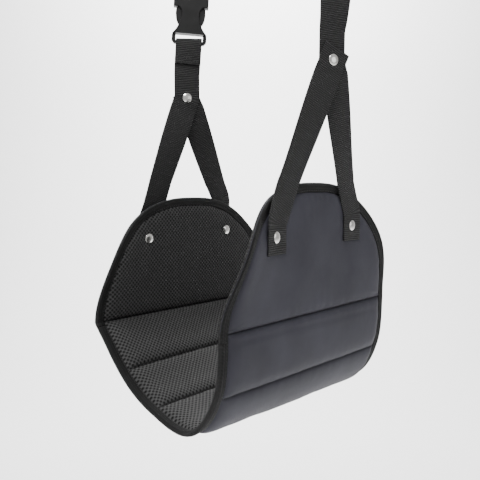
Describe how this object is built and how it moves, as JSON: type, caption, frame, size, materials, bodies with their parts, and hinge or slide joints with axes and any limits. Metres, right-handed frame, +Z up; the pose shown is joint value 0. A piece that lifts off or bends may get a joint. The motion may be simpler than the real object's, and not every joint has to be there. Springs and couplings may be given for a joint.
{
  "type": "hanging padded sling",
  "caption": "U-shaped quilted sling bound with tape, hung from two webbing straps that split into riveted Vs, with a side-release buckle.",
  "frame": {"origin": "halfway between the two hanging loops, at the height of the loops' seats", "axes": "+Z up the straps, +X across the trough towards the plain strap, +Y along the trough"},
  "size_m": [0.2383, 0.271, 0.6049],
  "materials": {
    "slate_cover": "smooth woven",
    "mesh_lining": "knitted mesh",
    "foam": "foam",
    "binding_tape": "ribbed tape",
    "webbing": "ribbed webbing",
    "buckle_plastic": "satin",
    "rivet_steel": "polished nickel"
  },
  "bodies": {
    "seat": {"foam_floor_1": "foam", "foam_floor_2": "foam", "foam_floor_3": "foam", "foam_floor_4": "foam", "foam_floor_5": "foam", "outer_cover_floor": "slate_cover", "mesh_lining_floor": "mesh_lining", "binding_floor_near": "binding_tape", "binding_floor_far": "binding_tape"},
    "right_wall": {"foam_right_wall": "foam", "outer_cover_right_wall": "slate_cover", "mesh_lining_right_wall": "mesh_lining", "binding_right_wall": "binding_tape", "right_near_leg_tab": "webbing", "right_near_rivet_cap": "rivet_steel", "right_near_rivet_back": "rivet_steel", "right_far_leg_tab": "webbing", "right_far_rivet_cap": "rivet_steel", "right_far_rivet_back": "rivet_steel"},
    "left_wall": {"foam_left_wall": "foam", "outer_cover_left_wall": "slate_cover", "mesh_lining_left_wall": "mesh_lining", "binding_left_wall": "binding_tape", "left_near_leg_tab": "webbing", "left_near_rivet_cap": "rivet_steel", "left_near_rivet_back": "rivet_steel", "left_far_leg_tab": "webbing", "left_far_rivet_cap": "rivet_steel", "left_far_rivet_back": "rivet_steel"},
    "right_straps": {"right_near_leg": "webbing", "right_main_strap": "webbing", "right_apex_rivet_cap": "rivet_steel", "right_apex_rivet_back": "rivet_steel"},
    "left_straps": {"left_far_leg": "webbing", "left_main_strap": "webbing", "left_apex_rivet_cap": "rivet_steel", "left_apex_rivet_back": "rivet_steel", "buckle_socket": "buckle_plastic"},
    "upper_left": {"left_upper_strap": "webbing", "buckle_plug": "buckle_plastic"},
    "prong_near": {"buckle_prong_near": "buckle_plastic"},
    "prong_far": {"buckle_prong_far": "buckle_plastic"}
  },
  "joints": [
    {"name": "right_fold", "type": "hinge", "parent": "seat", "child": "right_wall", "pos_m": [0.0715, 0, -0.5], "axis": [0, 1, 0], "range_deg": [-15, 15], "stiffness_Nm_per_rad": 2},
    {"name": "left_fold", "type": "hinge", "parent": "seat", "child": "left_wall", "pos_m": [-0.109, 0, -0.516], "axis": [0, 1, 0], "range_deg": [-15, 15], "stiffness_Nm_per_rad": 2},
    {"name": "right_strap_swing", "type": "hinge", "parent": "right_wall", "child": "right_straps", "pos_m": [0.07765, 0, -0.3722], "axis": [0, 1, 0], "range_deg": [-15, 15]},
    {"name": "left_strap_swing", "type": "hinge", "parent": "left_wall", "child": "left_straps", "pos_m": [-0.11515, 0, -0.3882], "axis": [0, 1, 0], "range_deg": [-15, 15]},
    {"name": "buckle_release", "type": "slide", "parent": "left_straps", "child": "upper_left", "axis": [0.0245, 0.0754, 0.9969], "range_m": [0, 0.04], "deforming": ["buckle_prong_near", "buckle_prong_far"]},
    {"name": "prong_near_press", "type": "hinge", "parent": "upper_left", "child": "prong_near", "pos_m": [-0.11332, -0.02016, -0.1473], "axis": [0.7189, -0.6942, 0.0349], "range_deg": [0, 7], "stiffness_Nm_per_rad": 0.3},
    {"name": "prong_far_press", "type": "hinge", "parent": "upper_left", "child": "prong_far", "pos_m": [-0.09595, -0.00227, -0.14908], "axis": [0.7189, -0.6942, 0.0349], "range_deg": [-7, 0]}
  ],
  "couplings": [
    {"joint": "right_strap_swing", "follows": "right_fold", "ratio": -1},
    {"joint": "left_strap_swing", "follows": "left_fold", "ratio": -1},
    {"joint": "prong_far_press", "follows": "prong_near_press", "ratio": -1}
  ]
}
